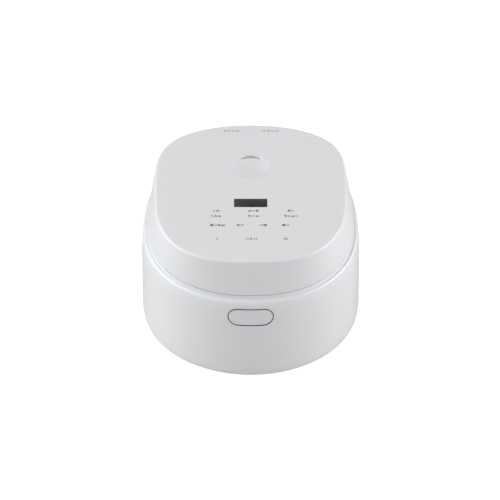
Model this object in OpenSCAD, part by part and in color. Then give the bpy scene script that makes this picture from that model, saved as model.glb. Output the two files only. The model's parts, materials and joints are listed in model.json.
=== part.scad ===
// Low induction rice cooker with a hinged lid, a push-button latch and a lift-out steam cap.
// Millimetres, +Z up, front towards -Y. The origin is the bottom centre of the whole object.

/* [Body] */
// Width of the casing at its widest line
body_w = 265; // [262:0.5:268]
// Distance from the widest line to the front of the casing
body_front = 150.8; // [150:0.2:153]
// Distance from the widest line to the back of the casing
body_rear = 172.8; // [172:0.2:176]
// How far the widest line lies from the origin along Y
mid_y = -11; // [-11.5:0.1:-10.5]
// Height of the casing's collar above the surface it stands on
casing_top = 119.4; // [118.8:0.1:119.6]
// Height of the rubber feet
foot_h = 4; // [3.5:0.5:4]
// Wall thickness of the casing and the lid cover
wall = 2.5; // [2.2:0.1:2.8]

/* [Lid] */
// Height of the deck above the surface it stands on
deck_top = 167.6; // [167:0.2:169]
// Half width of the lid where it meets the body
seam_half_w = 125.6; // [124:0.2:126]
// Half width of the deck
deck_half_w = 116.9; // [116:0.1:117.4]
// Clear gap between the lid's lower edge and the casing's collar
seam_gap = 1.2; // [1:0.1:1.6]

/* [Steam cap] */
// Radius of the steam cap
cap_r = 24.9; // [24:0.1:25]
// Where the steam cap's axis crosses the deck, along Y
cap_y = 42.5; // [41:0.5:44]

/* [Release button] */
// Width of the opening for the button
button_w = 55.6; // [54:0.2:57]
// Height of the opening for the button
button_h = 24.8; // [24:0.2:25.4]
// Height of the button's centre
button_z = 93.6; // [92.8:0.2:94]
// Gap round the button
button_gap = 1; // [0.7:0.1:1]
// How far the button goes in
button_travel = 3.5; // [3:0.1:3.6]

/* [Pot] */
// Inner radius of the pot
pot_r = 99; // [97:0.5:99]
// Height of the pot's rim
pot_rim_z = 114; // [113.8:0.1:114]
// Thickness of the pot's side wall
pot_wall = 2; // [1.5:0.1:2.2]

/* [Quality] */
// Straight stretches round each outline, a multiple of four
sides = 72; // [48:4:96]

/* [Hidden] */
$fn = 64;

// Bends of the plan outlines, as [front along X, front along Y, rear along X, rear along Y].
// 2 is an ellipse. Larger along X flattens the front or the back, larger along Y straightens the sides.
body_bends = [1.92, 2.36, 3.4, 2];
seam_bends = [2.25, 2.25, 2.5, 2.3];
deck_bends = [2.6, 2.6, 2.03, 4.26];
// Fits: glide is for a part that turns or slides, seat for parts at rest on each other
glide = 0.05;
seat = 0.1;
past = 1;

base_z = foot_h;
base_top = base_z + 3;
ledge_z = casing_top - 4.4;
seam_z = casing_top + seam_gap;
under_deck = deck_top - 2.4;
frame_z = seam_z + 0.8;
frame_top = frame_z + 2.6;
ring_top = casing_top - 0.5;
collar_wall = 2.6;
ring_h = 3;
seam_front = 141;
seam_rear = 145;
deck_front = 134;
deck_rear = 140.8;

// Hinge line of the lid
hinge_y = 126;
hinge_z = 134;
hinge_pin_r = 2.5;
barrel_r = 13;
barrel_half = 30;
notch_half = 37.5;
notch_y = hinge_y - barrel_r - 0.8;
notch_z = hinge_z + barrel_r + 0.8;
arm_in = 31;
arm_out = 36;

// Height at which the two halves of the steam cap meet
cap_joint_z = deck_top - 6;

// Latch line
latch_y = -141;
latch_z = 66;
latch_pin_r = 1.5;
lever_front = latch_y - 2;
// Height at which the button's stem pushes the lever
stem_z = latch_z + 27;
hook_z = frame_top + 0.6;
button_face = mid_y - body_front + 0.4;
button_back = button_face + 4.6;
guide_back = button_back + button_travel + 4.5;

// Display window
window_y = -31.1;
window_half_w = 20.05;
window_half_h = 8.2;
window_gap = 0.3;

// Pot, liner and coils
pot_out = pot_r + pot_wall;
pot_bottom = 32;
pot_floor = 3;
rim_r = 108.8;
liner_r = 107;
liner_wall = 1.8;
liner_floor = 26;
opening_r = 109.6;
coil_z = 20.5;
carrier_z = 17.4;

// Power board's rear face
board_back = 113.1;

// Cooling fan
fan_x = -41;
fan_y = 120;
fan_size = 46;
fan_z = base_top + seat;
fan_h = 14;

// Power inlet
inlet_z = 34;
inlet_half_w = 15.5;
inlet_half_h = 10.5;
inlet_gap = 0.7;
inlet_front = mid_y + body_rear - 0.8;
inlet_back = inlet_front - 24.2;
cavity_half_w = 12.3;
cavity_half_h = 8.5;
cavity_floor = inlet_front - 18.2;

// Upright slots in the casing on each side of the inlet
vent_step = 8;
vent_w = 3;

screw_places = [[64, -75], [-64, -75], [64, 53], [-64, 53]];
lid_post_places = [[84, -78], [-84, -78], [84, 62], [-84, 62]];
foot_places = [[78, -95], [-78, -95], [72, 108], [-72, 108]];
touch_places = [
  for (x = [-43, -14, 14, 41]) [x, -75],
  for (x = [-43, 3, 46]) [x, -53],
  for (x = [-41, 0, 41]) [x, -101.6]
];
// Top face of the touch board in the lid
board_top = 161.6;

// ---------------------------------------------------------------- shared shapes

function mix(from, to, share) = from + (to - from) * share;
function bulge(v, power) = sign(v) * pow(abs(v), 2 / power);

// A closed plan outline with its own lengths and bends in front of and behind the line y = mid
function plan(half_w, front, rear, bends, mid) = [
  for (i = [0 : sides - 1])
    let (
      turn = 360 * i / sides,
      c = cos(turn),
      s = sin(turn),
      side = s < 0 ? 0 : 2,
      reach = s < 0 ? front : rear
    )
    [half_w * bulge(c, bends[side]), mid + reach * bulge(s, bends[side + 1])]
];

// The casing's outline, drawn in by inset
function body_plan(inset) =
  plan(body_w / 2 - inset, body_front - inset, body_rear - inset, body_bends, mid_y);

// The lid's outline: share 0 is the seam, share 1 the deck
function lid_plan(share, inset) =
  plan(
    mix(seam_half_w, deck_half_w, share) - inset,
    mix(seam_front, deck_front, share) - inset,
    mix(seam_rear, deck_rear, share) - inset,
    mix(seam_bends, deck_bends, share), mid_y
  );

function at_height(outline, z) = [for (p = outline) [p.x, p.y, z]];

// A skin through rings of equal count. A wrapped skin joins its last ring to its first.
module skin(rings, wrapped = false) {
  count = len(rings);
  across = len(rings[0]);
  last = wrapped ? count - 1 : count - 2;
  points = [for (r = rings) each r];
  side_faces = [
    for (i = [0 : last])
      for (j = [0 : across - 1])
        let (
          a = i * across + j,
          b = i * across + (j + 1) % across,
          c = ((i + 1) % count) * across + (j + 1) % across,
          d = ((i + 1) % count) * across + j
        )
        each [[a, d, c], [a, c, b]]
  ];
  caps = wrapped ? [] : [
    [for (j = [0 : across - 1]) j],
    [for (j = [across - 1 : -1 : 0]) (count - 1) * across + j]
  ];
  polyhedron(points = points, faces = concat(side_faces, caps), convexity = 6);
}

// A round-ended oblong
module stadium(w, h) {
  square([w - h, h], center = true);
  for (side = [-1, 1]) translate([side * (w - h) / 2, 0]) circle(d = h);
}

// Stands a flat shape upright, so that it runs from y to y + depth and its own Y points up
module upright(y, depth) {
  translate([0, y + depth, 0]) rotate([90, 0, 0]) linear_extrude(depth) children();
}

module tube(outer, inner, h) {
  difference() {
    cylinder(r = outer, h = h);
    translate([0, 0, -past]) cylinder(r = inner, h = h + 2 * past);
  }
}

// A cylinder along X, centred on x = 0
module axle(r, length) {
  rotate([0, 90, 0]) cylinder(r = r, h = length, center = true);
}

// A block given by its lowest and highest corners
module block(low, high) {
  translate(low) cube(high - low);
}

// Wire wound round the Z axis, with its first and last turns lying closer together
module coil_spring(r, wire, turns, length) {
  steps = 12;
  total = turns * steps;
  rings = [
    for (i = [0 : total])
      let (
        turn = 360 * i / steps,
        ease = i / total - 0.11 * sin(360 * i / total),
        z = wire + (length - 2 * wire) * ease
      )
      [for (k = [0 : 5]) [
        (r + wire * cos(60 * k)) * cos(turn),
        (r + wire * cos(60 * k)) * sin(turn),
        z + wire * sin(60 * k)
      ]]
  ];
  skin([for (i = [total : -1 : 0]) rings[i]]);
}

// ---------------------------------------------------------------- body shells

// Outer casing: one shell, open below and above. Over its shoulder lies a ledge, wide at the back,
// and from the ledge rises a collar that carries the lid's outline on downwards.
module outer_casing() {
  profile = [
    // outside, from the foot up to the ledge
    [2.8, base_z], [1.6, base_z + 0.8], [0.7, base_z + 2.6], [0.2, base_z + 6], [0, base_z + 14],
    [0, 68], [0.2, 88], [0.6, 98], [1, 104], [1.6, 109], [2.5, 112.4], [3.7, ledge_z - 1.1],
    [5.4, ledge_z - 0.3]
  ];
  collar = [
    // from the ledge over the collar and down its inner face
    [-0.2, ledge_z], [-0.15, ledge_z + 0.9], [0, casing_top - 0.6], [0.6, casing_top],
    [collar_wall, casing_top], [collar_wall, ledge_z - wall + 0.6]
  ];
  inside = [
    // back down to the foot
    [7, ledge_z - wall - 0.1], [5, 110.5], [wall + 1.2, 104], [wall + 0.5, 93], [wall, 70], [wall, 30],
    [wall + 0.3, base_z + 8], [wall + 0.9, base_z + 3], [wall + 2.1, base_z]
  ];
  color("white") difference() {
    skin(concat(
      [for (p = profile) at_height(body_plan(p.x), p.y)],
      [for (p = collar) at_height(lid_plan(0, p.x), p.y)],
      [for (p = inside) at_height(body_plan(p.x), p.y)]
    ), wrapped = true);
    translate([0, 0, button_z]) upright(mid_y - body_front - past, 14) stadium(button_w, button_h);
    block([-inlet_half_w - inlet_gap, inlet_front - 8, inlet_z - inlet_half_h - inlet_gap],
      [inlet_half_w + inlet_gap, inlet_front + 5, inlet_z + inlet_half_h + inlet_gap]);
    for (i = [-5 : 5])
      if (abs(i) > 2)
        translate([i * vent_step, inlet_front, 0]) block([-vent_w / 2, -18, 14], [vent_w / 2, 5, 40]);
  }
}

// Ring plate round the pot, with a collar, a dew channel and a slot for the latch hook
module top_frame() {
  color("gainsboro") difference() {
    union() {
      translate([0, 0, ring_top - ring_h]) linear_extrude(ring_h) polygon(lid_plan(0, collar_wall + 0.2));
      translate([0, mid_y, ring_top - 12]) cylinder(r = opening_r + 2.2, h = 12);
    }
    translate([0, mid_y, ring_top - 20]) cylinder(r = opening_r, h = 30);
    translate([0, mid_y, ring_top - 1]) tube(opening_r + 6.5, opening_r + 3.5, 4);
    block([-17, -144.5, ring_top - 5], [17, -130.5, ring_top + past]);
  }
}

// Bottom cover with a grille under the fan
module base_plate() {
  grille_step = 3.4;
  color("dimgray") difference() {
    union() {
      translate([0, 0, base_z]) linear_extrude(base_top - base_z) polygon(body_plan(4.9));
      for (p = foot_places) translate([p.x, p.y, base_z]) cylinder(r = 6, h = 5);
    }
    for (i = [-6 : 6]) translate([fan_x + i * grille_step, fan_y, 0])
      block([-grille_step * 0.3, -19, base_z - past], [grille_step * 0.3, 19, base_top + past]);
    for (p = screw_places) translate([p.x, p.y, 0]) {
      translate([0, 0, base_z - past]) cylinder(r = 3.4, h = 2.6);
      cylinder(r = 1.7, h = 20);
    }
    for (p = foot_places) translate([p.x, p.y, base_z - past]) cylinder(r = 3.1, h = 4.5);
  }
}

module rubber_feet() {
  color("darkslategray") for (p = foot_places) translate([p.x, p.y, 0]) {
    cylinder(r1 = 8.2, r2 = 9, h = 0.8);
    translate([0, 0, 0.8]) cylinder(r = 9, h = base_z - 0.9);
    cylinder(r = 3, h = base_z + 3.4);
  }
}

module base_screws() {
  color("silver") for (p = screw_places) translate([p.x, p.y, 0]) difference() {
    union() {
      translate([0, 0, base_z + 0.1]) cylinder(r = 3.1, h = 1.4);
      translate([0, 0, base_z + 0.1]) cylinder(r = 1.45, h = 12);
    }
    block([-2, -0.4, base_z], [2, 0.4, base_z + 0.8]);
    block([-0.4, -2, base_z], [0.4, 2, base_z + 0.8]);
  }
}

// ---------------------------------------------------------------- pot and heating

// Points of a quarter bend from straight down to level, between a wall radius and a floor height
function bend_points(wall_r, floor_z, bend_r) =
  [for (i = [0 : 8]) let (turn = 90 * i / 8)
    [wall_r - bend_r + bend_r * cos(turn), floor_z + bend_r - bend_r * sin(turn)]];

module inner_pot() {
  inside = bend_points(pot_r, pot_bottom + pot_floor, 30);
  outside = bend_points(pot_out, pot_bottom, 32);
  color("dimgray") translate([0, mid_y, 0]) rotate_extrude() polygon(concat(
    [[0, pot_bottom]],
    [for (i = [8 : -1 : 0]) outside[i]],
    [[pot_out, pot_rim_z - 2], [rim_r, pot_rim_z - 2], [rim_r, pot_rim_z], [pot_r, pot_rim_z]],
    inside,
    [[0, pot_bottom + pot_floor]]
  ));
}

module pot_liner() {
  top = pot_rim_z - 2 - seat;
  inside = bend_points(liner_r - liner_wall, liner_floor + liner_wall, 30);
  outside = bend_points(liner_r, liner_floor, 31.8);
  color("tan") translate([0, mid_y, 0]) rotate_extrude() polygon(concat(
    [[12.4, liner_floor]],
    [for (i = [8 : -1 : 0]) outside[i]],
    [[liner_r, top - 2.2], [opening_r - seat, top - 2.2]],
    [[opening_r - seat, top], [liner_r - liner_wall, top]],
    inside,
    [[12.4, liner_floor + liner_wall]]
  ));
}

// Two flat windings under the liner
module bottom_coil() {
  color("chocolate") translate([0, mid_y, coil_z]) {
    tube(44, 22, 5);
    tube(76, 54, 5);
  }
}

module side_coil() {
  color("chocolate") translate([0, mid_y, 60]) tube(liner_r + 3.4, liner_r + seat, 13);
}

// Spoked carrier: holds the coils above the base and guides the pot sensor
module coil_carrier() {
  color("ivory") {
    translate([0, mid_y, carrier_z]) difference() {
      cylinder(r = 99, h = 3);
      translate([0, 0, -past]) cylinder(r = 12.4, h = 5);
      for (turn = [0 : 45 : 315]) rotate(turn + 22.5) {
        block([46, -6, -past], [52, 6, 5]);
        block([80, -14, -past], [90, 14, 5]);
      }
    }
    for (p = screw_places) translate([p.x, p.y, base_top + seat]) tube(4.4, 1.5, carrier_z - base_top - seat);
    translate([0, mid_y, 12]) tube(14.6, 10.9, 12);
    translate([0, mid_y, 12]) tube(11.5, 3.1, 2);
  }
}

module ferrite_bars() {
  color("black") translate([0, mid_y, 0])
    for (turn = [0 : 60 : 300]) rotate(turn) block([20, -6, carrier_z - 5.2], [76, 6, carrier_z - seat]);
}

module warming_band() {
  color("silver") translate([0, mid_y, 82]) tube(liner_r + 1.1, liner_r + seat, 18);
}

module thermal_fuse() {
  color("firebrick") translate([-64, mid_y + 92, 88]) cylinder(r = 2.4, h = 12);
}

module sensor_spring() {
  color("silver") translate([0, mid_y, 14.1]) coil_spring(5.4, 0.5, 5, 7.7);
}

// Cap pressed up against the pot, on a stem in the carrier's guide
module temperature_sensor() {
  color("silver") translate([0, mid_y, 0]) {
    difference() {
      translate([0, 0, 22]) cylinder(r = 10.5, h = pot_bottom - 22 - seat);
      translate([0, 0, 21]) cylinder(r = 8.5, h = 8);
    }
    translate([0, 0, 10]) cylinder(r = 3, h = 20);
  }
}

// ---------------------------------------------------------------- electronics

module power_board() {
  color("seagreen") difference() {
    block([-62, board_back - 1.6, 46], [62, board_back, 106]);
    for (x = [-57, 57], z = [51, 101]) translate([x, 120, z]) rotate([90, 0, 0]) cylinder(r = 1.8, h = 20);
  }
}

module heat_sink() {
  color("lightgray") {
    block([-62, 120, fan_z + fan_h + seat], [-20, 124, 96]);
    for (i = [0 : 6]) block([-62 + i * 6.75, 123.9, fan_z + fan_h + seat], [-60.5 + i * 6.75, 139, 96]);
  }
}

module power_transistors() {
  color("black") for (x = [-56, -37]) block([x, 115.5, 62], [x + 15.6, 119.9, 82]);
}

module filter_capacitor() {
  color("goldenrod") block([8, 113.2, 74], [40, 131, 98]);
}

module choke_coil() {
  color("chocolate") translate([25, 126.5, 56]) rotate([90, 0, 0]) tube(13, 6, 13);
}

module fan_housing() {
  color("black") translate([fan_x, fan_y, fan_z]) difference() {
    block([-fan_size / 2, -fan_size / 2, 0], [fan_size / 2, fan_size / 2, fan_h]);
    difference() {
      translate([0, 0, -past]) cylinder(r = fan_size / 2 - 1.5, h = fan_h + 2 * past);
      cylinder(r = 9, h = 2.5);
      block([-1.5, -fan_size, 0], [1.5, fan_size, 2]);
      block([-fan_size, -1.5, 0], [fan_size, 1.5, 2]);
      cylinder(r = 1.2, h = 10);
    }
    for (x = [-1, 1], y = [-1, 1]) translate([x * 20, y * 20, -past]) cylinder(r = 1.7, h = 20);
  }
}

module fan_impeller() {
  color("dimgray") translate([fan_x, fan_y, fan_z + 3]) difference() {
    union() {
      cylinder(r = 9, h = 10);
      for (i = [0 : 6]) rotate(i * 360 / 7) translate([8, 0, 5]) rotate([35, 0, 0])
        block([0, -5.4, -0.5], [11.6, 5.4, 0.5]);
    }
    translate([0, 0, -past]) cylinder(r = 1.2 + glide, h = 9);
  }
}

// Appliance inlet at the back: a moulded socket with a deep cavity
module power_inlet() {
  color("black") difference() {
    union() {
      block([-inlet_half_w, inlet_back, inlet_z - inlet_half_h],
        [inlet_half_w, inlet_front, inlet_z + inlet_half_h]);
      block([-21, inlet_front - 6.7, inlet_z - 13.5], [21, inlet_front - 4.7, inlet_z + 13.5]);
    }
    block([-cavity_half_w, cavity_floor, inlet_z - cavity_half_h],
      [cavity_half_w, inlet_front + past, inlet_z + cavity_half_h]);
    for (x = [-7, 0, 7]) pin_at(x, 0.1, 20);
  }
}

// One flat contact blade of the inlet, as wide as it is with some extra all round
module pin_at(x, extra, length) {
  lift = x == 0 ? 3 : -1;
  block([x - 1 - extra, inlet_back - 4, inlet_z + lift - 2 - extra],
    [x + 1 + extra, inlet_back - 4 + length, inlet_z + lift + 2 + extra]);
}

module inlet_pins() {
  color("gold") for (x = [-7, 0, 7]) pin_at(x, 0, 24);
}

// Two insulated leads inside the casing, from the inlet to the power board
module power_leads() {
  lead_r = 1.5;
  rise_y = inlet_back - 11;
  color("crimson") for (side = [-1, 1]) {
    translate([side * 7, inlet_back - 4.1, inlet_z + 1]) rotate([90, 0, 0]) cylinder(r = lead_r, h = 8);
    translate([side * 7, rise_y, inlet_z - 0.5]) cylinder(r = lead_r, h = 30);
    translate([side * 7, rise_y + lead_r, inlet_z + 28]) rotate([90, 0, 0])
      cylinder(r = lead_r, h = rise_y + lead_r - board_back - seat);
  }
}

// ---------------------------------------------------------------- hinge

module at_hinge() {
  translate([0, hinge_y, hinge_z]) children();
}

// Two ears on a foot that is screwed to the top frame
module hinge_mount() {
  back = hinge_y + 3.2;
  color("gray") difference() {
    union() {
      block([-28, 116.5, ring_top + seat], [28, back, ring_top + 3]);
      for (side = [-1, 1]) {
        translate([side * 25, 0, 0]) at_hinge() axle(8, 6);
        block([side * 25 - 3, hinge_y - 8, ring_top + seat], [side * 25 + 3, back, hinge_z]);
      }
    }
    at_hinge() axle(hinge_pin_r + seat / 4, 80);
  }
}

// Round cover over the hinge, in the body's colour. It stands on the ledge behind the collar.
module hinge_cover() {
  flank = hinge_y + barrel_r - 0.6;
  color("white") difference() {
    union() {
      at_hinge() axle(barrel_r, 2 * barrel_half);
      block([-barrel_half, hinge_y - 11.4, casing_top + seat], [barrel_half, flank, hinge_z]);
      block([-barrel_half, mid_y + seam_rear + 0.5, ledge_z + seat], [barrel_half, flank, hinge_z]);
    }
    at_hinge() axle(barrel_r - 1.8, 2 * barrel_half - 3.4);
    block([1.7 - barrel_half, hinge_y - 9.8, ring_top - past], [barrel_half - 1.7, flank - 2, hinge_z]);
    at_hinge() axle(hinge_pin_r + 0.2, 80);
  }
}

module hinge_pin() {
  color("silver") at_hinge() axle(hinge_pin_r, 2 * arm_out + 1);
}

// Torsion spring wound round the hinge pin
module lid_spring() {
  color("silver") at_hinge() translate([-16, 0, 0]) rotate([0, 90, 0]) coil_spring(4.6, 0.8, 14, 32);
}

// ---------------------------------------------------------------- release button and latch

// Stadium sleeve behind the casing that the button slides in, closed by a back wall
module button_guide() {
  color("gainsboro") difference() {
    translate([0, 0, button_z]) union() {
      upright(guide_back - 5.7, 7.3) stadium(button_w + 3, button_h + 3);
      upright(guide_back - 0.1, 1.7) stadium(button_w + 13, button_h + 3);
    }
    translate([0, 0, button_z]) upright(guide_back - 8, 8) stadium(button_w, button_h);
    translate([0, 0, stem_z]) upright(button_back, 20) circle(r = 4.2);
  }
}

module button_springs() {
  color("silver") for (side = [-1, 1])
    translate([side * 16, button_back + 0.1, button_z]) rotate([-90, 0, 0])
      coil_spring(3.4, 0.45, 4, guide_back - button_back - 0.3);
}

// Oblong button: its face follows the casing's curve, its stem reaches back to the latch lever
module release_button() {
  face_curve_r = 192;
  color("white") {
    intersection() {
      translate([0, 0, button_z]) upright(button_face, button_back - button_face)
        stadium(button_w - 2 * button_gap, button_h - 2 * button_gap);
      translate([0, button_face + face_curve_r, 0]) cylinder(r = face_curve_r, h = 200, $fn = 128);
    }
    translate([0, 0, stem_z]) {
      upright(button_back - 0.5, 10) circle(r = 3.4);
      upright(button_back, lever_front - button_back - 0.4) circle(r = 1.6);
    }
  }
}

// U-shaped bracket hung from the top frame, with the latch pivot at its foot
module latch_bracket() {
  out = 16.6;
  sheet = 1.6;
  low = latch_z - 7;
  back = latch_y + 12;
  color("silver") difference() {
    union() {
      for (x = [-out, out - sheet]) {
        block([x, latch_y + 6, low], [x + sheet, back, ring_top - ring_h - seat]);
        block([x, latch_y - 5, low], [x + sheet, latch_y + 6.1, latch_z + 14]);
      }
      block([-out, back - sheet, low], [out, back, latch_z + 18]);
    }
    translate([0, latch_y, latch_z]) axle(latch_pin_r + seat / 4, 60);
  }
}

module latch_pin() {
  color("silver") translate([0, latch_y, latch_z]) axle(latch_pin_r, 35);
}

module latch_spring() {
  color("silver") translate([0, latch_y + 2.2, latch_z + 14]) rotate([-90, 0, 0]) coil_spring(3.2, 0.4, 4, 8);
}

// Lever with a hook that holds the lid's catch
module latch_lever() {
  color("lightgray") difference() {
    union() {
      translate([0, latch_y, latch_z]) axle(4.4, 29);
      block([-13, lever_front, latch_z], [13, latch_y + 2, hook_z]);
      block([-12, lever_front - 3.5, hook_z], [12, latch_y + 2, hook_z + 3.4]);
    }
    translate([0, latch_y, latch_z]) axle(latch_pin_r + glide, 60);
  }
}

// ---------------------------------------------------------------- lid

// Lid cover: skirt, rim and slightly crowned deck in one shell
module lid_cover() {
  crown = [
    // share of the way from seam to deck, inset, height: outside, from the lower edge up
    [0, 1, seam_z], [0.01, 0.35, seam_z + 0.5], [0.04, 0, seam_z + 1.8], [0.24, 0, 131], [0.5, 0, 142],
    [0.76, 0, 152.5], [0.93, 0, 159], [1, 0, 162.2], [1, 0.9, 164.2], [1, 2.6, deck_top - 2.1],
    [1, 5.5, deck_top - 1.6], [1, 13, deck_top - 1.1], [1, 30, deck_top - 0.4], [1, 58, deck_top]
  ];
  hollow = [
    // inside, from the middle of the deck down to the lower edge
    [1, 58, under_deck], [1, 30, under_deck - 0.4], [1, 9, under_deck - 1.5], [1, 4.4, 161.2],
    [0.92, wall + 0.2, 157], [0.5, wall, 142], [0.08, wall, 125], [0, wall + 0.6, seam_z]
  ];
  color("white") difference() {
    union() {
      skin([for (p = concat(hollow, crown)) at_height(lid_plan(p.x, p.y), p.z)]);
      for (p = lid_post_places) translate([p.x, p.y, frame_top + seat])
        cylinder(r = 4, h = under_deck + 0.6 - frame_top - seat);
    }
    block([-notch_half, notch_y, seam_z - past], [notch_half, seam_rear, notch_z]);
    translate([0, cap_y, under_deck - 3]) cylinder(r = cap_r + 0.4, h = 10);
    block([-window_half_w - window_gap, window_y - window_half_h - window_gap, under_deck - 3],
      [window_half_w + window_gap, window_y + window_half_h + window_gap, deck_top + past]);
    for (p = lid_post_places) translate([p.x, p.y, 0]) cylinder(r = 1.5, h = frame_top + 14);
  }
}

module display_window() {
  color("black")
    block([-window_half_w, window_y - window_half_h, under_deck],
      [window_half_w, window_y + window_half_h, deck_top - 0.05]);
}

module display_module() {
  color("darkslategray") block([-19, window_y - 7, board_top + seat], [19, window_y + 7, under_deck - seat]);
}

module touch_board() {
  color("seagreen") block([-60, -112, board_top - 1.6], [60, -18, board_top]);
}

module touch_pads() {
  color("dimgray") for (p = touch_places) translate([p.x, p.y, board_top + seat]) cylinder(r = 4, h = 2.4);
}

// Structural floor of the lid: hinge arms, hinge recess, steam well and catch pocket
module lid_frame() {
  color("gainsboro") difference() {
    union() {
      translate([0, 0, frame_z]) linear_extrude(frame_top - frame_z) polygon(lid_plan(0.05, wall + 0.6));
      translate([0, mid_y, frame_z - 3.6]) tube(107, 102.4, 3.7);
      translate([0, cap_y, frame_z]) cylinder(r = cap_r + 4, h = under_deck - frame_z - 1.2);
      block([-39.2, notch_y - 1.8, frame_z], [39.2, hinge_y - 4, notch_z + 1.8]);
      for (p = lid_post_places) translate([p.x, p.y, frame_z]) cylinder(r = 6, h = 2.6);
    }
    block([-notch_half, notch_y, frame_z - past], [notch_half, seam_rear, notch_z]);
    translate([0, cap_y, frame_top + 1.2]) cylinder(r = cap_r + 1.6, h = 60);
    translate([0, cap_y, frame_z - past]) cylinder(r = 12, h = 10);
    block([-18.2, -155, frame_z - past], [18.2, -128.3, frame_top + past]);
    for (p = lid_post_places) translate([p.x, p.y, frame_z - past]) {
      cylinder(r = 1.7, h = 8);
      cylinder(r = 3.2, h = 2.2);
    }
  }
  color("gainsboro") for (side = [-1, 1]) difference() {
    middle = side * (arm_in + arm_out) / 2;
    union() {
      translate([middle, 0, 0]) at_hinge() axle(6.6, arm_out - arm_in);
      block([middle - 2.5, notch_y - 1, frame_z], [middle + 2.5, hinge_y, hinge_z + 4]);
    }
    at_hinge() axle(hinge_pin_r + glide, 100);
  }
}

// Steel striker under which the latch hook catches
module lid_catch() {
  color("silver") difference() {
    block([-18, -147.8, frame_z], [18, -128.5, frame_top]);
    block([-14.5, lever_front - 0.4, frame_z - past], [14.5, -130.5, frame_top + past]);
  }
}

module lid_screws() {
  color("silver") for (p = lid_post_places) translate([p.x, p.y, frame_z + 0.1]) {
    cylinder(r = 3, h = 1);
    cylinder(r = 1.45, h = 12);
  }
}

module lid_heater() {
  color("silver") translate([0, mid_y, frame_z - 3]) difference() {
    cylinder(r = 102, h = 1.2);
    translate([0, cap_y - mid_y, -past]) cylinder(r = 18, h = 4);
  }
}

module lid_thermistor() {
  color("firebrick") translate([-58, -24, frame_z - 1.7]) cylinder(r = 3, h = 1.6);
}

// Detachable inner lid, pressed from sheet with a turned-down rim
module inner_lid() {
  color("silver") translate([0, mid_y, 0]) difference() {
    rotate_extrude() polygon([
      [0, 116.4], [60, 116.4], [66, 115.6], [98.4, 115.6],
      [98.4, 116.8], [66.3, 116.8], [60.3, 117.6], [0, 117.6]
    ]);
    translate([0, cap_y - mid_y, 110]) cylinder(r = 9, h = 12);
  }
}

module inner_lid_gasket() {
  color("lightgray") translate([0, mid_y, 0]) rotate_extrude() polygon([
    [98.5, 114.7], [104, 114.2], [106.6, 114.2], [106.6, 115.4], [104.4, 117.4], [98.5, 117.4]
  ]);
}

module steam_packing() {
  color("lightgray") translate([0, cap_y, 117.7]) tube(14, 9.5, 3.6);
}

// ---------------------------------------------------------------- steam cap

// Upper half: a shallow dish, deepest towards the back, with a crescent slot
module steam_cap_upper() {
  dish_r = 92;
  dish_depth = 3.4;
  lip = 9;
  color("white") translate([0, cap_y, 0]) difference() {
    translate([0, 0, deck_top - lip]) cylinder(r = cap_r, h = lip - 0.05);
    translate([0, 2, deck_top + dish_r - dish_depth]) sphere(r = dish_r, $fn = 128);
    translate([0, 0, deck_top - lip - past]) cylinder(r = cap_r - 2, h = cap_joint_z - deck_top + lip + past);
    translate([0, 0, deck_top - 20]) linear_extrude(30) intersection() {
      difference() {
        translate([0, 6.4]) circle(r = 15);
        translate([0, 2.4]) circle(r = 15.9);
      }
      square([22.5, 60], center = true);
    }
  }
}

module steam_cap_lower() {
  color("ivory") translate([0, cap_y, 0]) difference() {
    union() {
      translate([0, 0, 134]) cylinder(r = cap_r - 2.2, h = cap_joint_z - 134 - seat);
      translate([0, 0, frame_top + 1.6]) cylinder(r = 8, h = 10);
    }
    translate([0, 0, 136]) cylinder(r = cap_r - 4, h = 30);
    translate([0, 0, 120]) cylinder(r = 5, h = 12);
    for (turn = [0 : 60 : 300]) rotate(turn) translate([14, 0, 130]) cylinder(r = 1.6, h = 10);
    cylinder(r = 1.8, h = 150);
  }
}

module steam_cap_seal() {
  color("lightgray") translate([0, cap_y, frame_top + 1.3]) tube(11.6, 8.05, 5);
}

outer_casing();
top_frame();
base_plate();
rubber_feet();
base_screws();
inner_pot();
pot_liner();
bottom_coil();
side_coil();
coil_carrier();
ferrite_bars();
warming_band();
thermal_fuse();
sensor_spring();
temperature_sensor();
power_board();
heat_sink();
power_transistors();
filter_capacitor();
choke_coil();
fan_housing();
fan_impeller();
power_inlet();
inlet_pins();
power_leads();
hinge_mount();
hinge_cover();
hinge_pin();
lid_spring();
button_guide();
button_springs();
release_button();
latch_bracket();
latch_pin();
latch_spring();
latch_lever();
lid_cover();
display_window();
display_module();
touch_board();
touch_pads();
lid_frame();
lid_catch();
lid_screws();
lid_heater();
lid_thermistor();
inner_lid();
inner_lid_gasket();
steam_packing();
steam_cap_upper();
steam_cap_lower();
steam_cap_seal();
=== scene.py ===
"""Looks of the rice cooker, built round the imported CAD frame. Metres, +Z up, front towards -Y."""
import json
import math

import bmesh
import bpy
from mathutils import Matrix, Vector
from mathutils.bvhtree import BVHTree

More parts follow.
